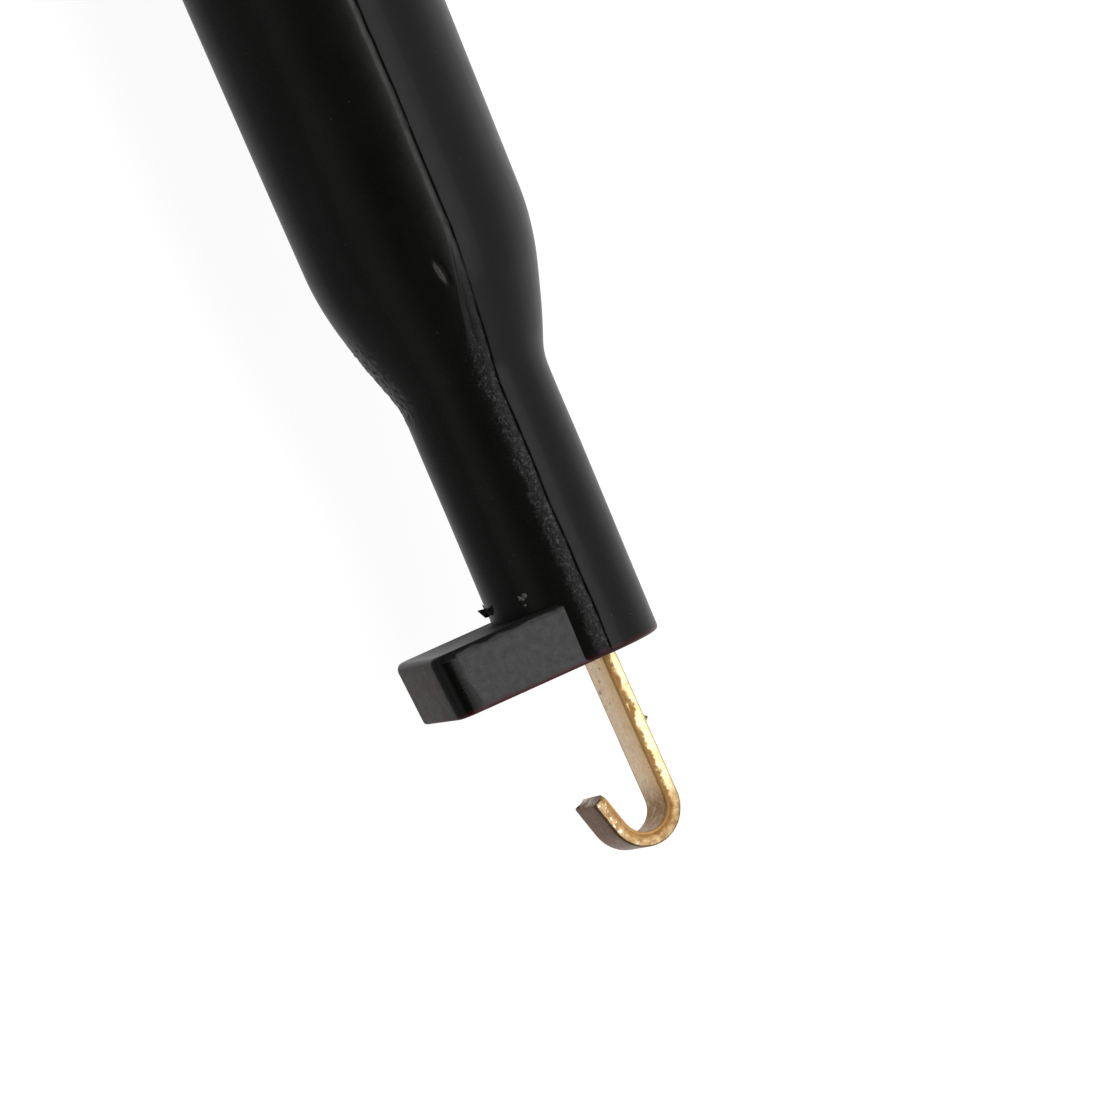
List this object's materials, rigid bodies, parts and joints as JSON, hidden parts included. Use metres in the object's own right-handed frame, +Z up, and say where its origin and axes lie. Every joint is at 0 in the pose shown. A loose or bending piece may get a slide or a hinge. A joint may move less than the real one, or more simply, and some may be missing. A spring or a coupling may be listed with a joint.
{
  "type": "oscilloscope probe",
  "caption": "Handheld oscilloscope probe head with finger guard, attenuation slide switch and a sprung, pull-off hook tip with a jaw lug.",
  "frame": {"origin": "centre of the rear cable gland's mouth, on the probe's axis", "axes": "+X along the probe from the cable gland to the hook; +Z up, the side with the switch; the hook's jaw lug points to -Y"},
  "size_m": [0.1527, 0.017, 0.012],
  "materials": {
    "black_nylon": "fine matt moulded black nylon",
    "handle_plastic": "satin moulded dark plastic",
    "knob_plastic": "satin dark grey plastic",
    "bush_rubber": "dull dark rubber",
    "gold_contact": "gold-plated contact metal",
    "hook_metal": "worn gold-plated strip with brown tarnish",
    "nickel_brass": "nickel-plated turned brass",
    "spring_steel": "bright drawn spring wire",
    "white_insulator": "off-white fluoropolymer",
    "board_green": "solder-masked glass epoxy",
    "resistor_body": "lacquered resistor body",
    "ceramic": "sintered ceramic",
    "copper_wire": "bare resistive copper alloy wire",
    "housing_plastic": "ivory moulded switch plastic"
  },
  "bodies": {
    "probe_body": {"gland_nut": "handle_plastic", "gland_bush": "bush_rubber", "rear_collar": "handle_plastic", "cable_ferrule": "nickel_brass", "body_shell_lower": "handle_plastic", "body_shell_upper": "handle_plastic", "inner_shield": "nickel_brass", "circuit_board": "board_green", "centre_conductor": "copper_wire", "input_resistor": "resistor_body", "trimmed_capacitor": "ceramic", "switch_housing": "housing_plastic", "switch_contacts": "gold_contact", "finger_guard": "handle_plastic", "ground_barrel": "nickel_brass", "ground_ring": "gold_contact", "tip_insulator": "white_insulator", "probe_needle": "gold_contact"},
    "switch": {"switch_knob": "knob_plastic", "switch_bridge": "gold_contact"},
    "clip": {"collet_clip": "spring_steel"},
    "carrier": {"hook_carrier": "black_nylon", "contact_socket": "gold_contact", "return_spring": "spring_steel", "hook_strip": "hook_metal"},
    "sleeve": {"hook_sleeve": "black_nylon"}
  },
  "joints": [
    {"name": "switch_slide", "type": "slide", "parent": "probe_body", "child": "switch", "axis": [1, 0, 0], "range_m": [0, 0.003]},
    {"name": "tip_pull_off", "type": "slide", "parent": "probe_body", "child": "clip", "axis": [1, 0, 0], "range_m": [0, 0.03]},
    {"name": "tip_turn", "type": "hinge", "parent": "clip", "child": "carrier", "pos_m": [0.0927, 0, 0], "axis": [1, 0, 0], "continuous": true},
    {"name": "sleeve_slide", "type": "slide", "parent": "carrier", "child": "sleeve", "axis": [1, 0, 0], "range_m": [0, 0.0042], "stiffness_N_per_m": 120, "springref_m": 0.008, "deforming": ["return_spring"]}
  ]
}
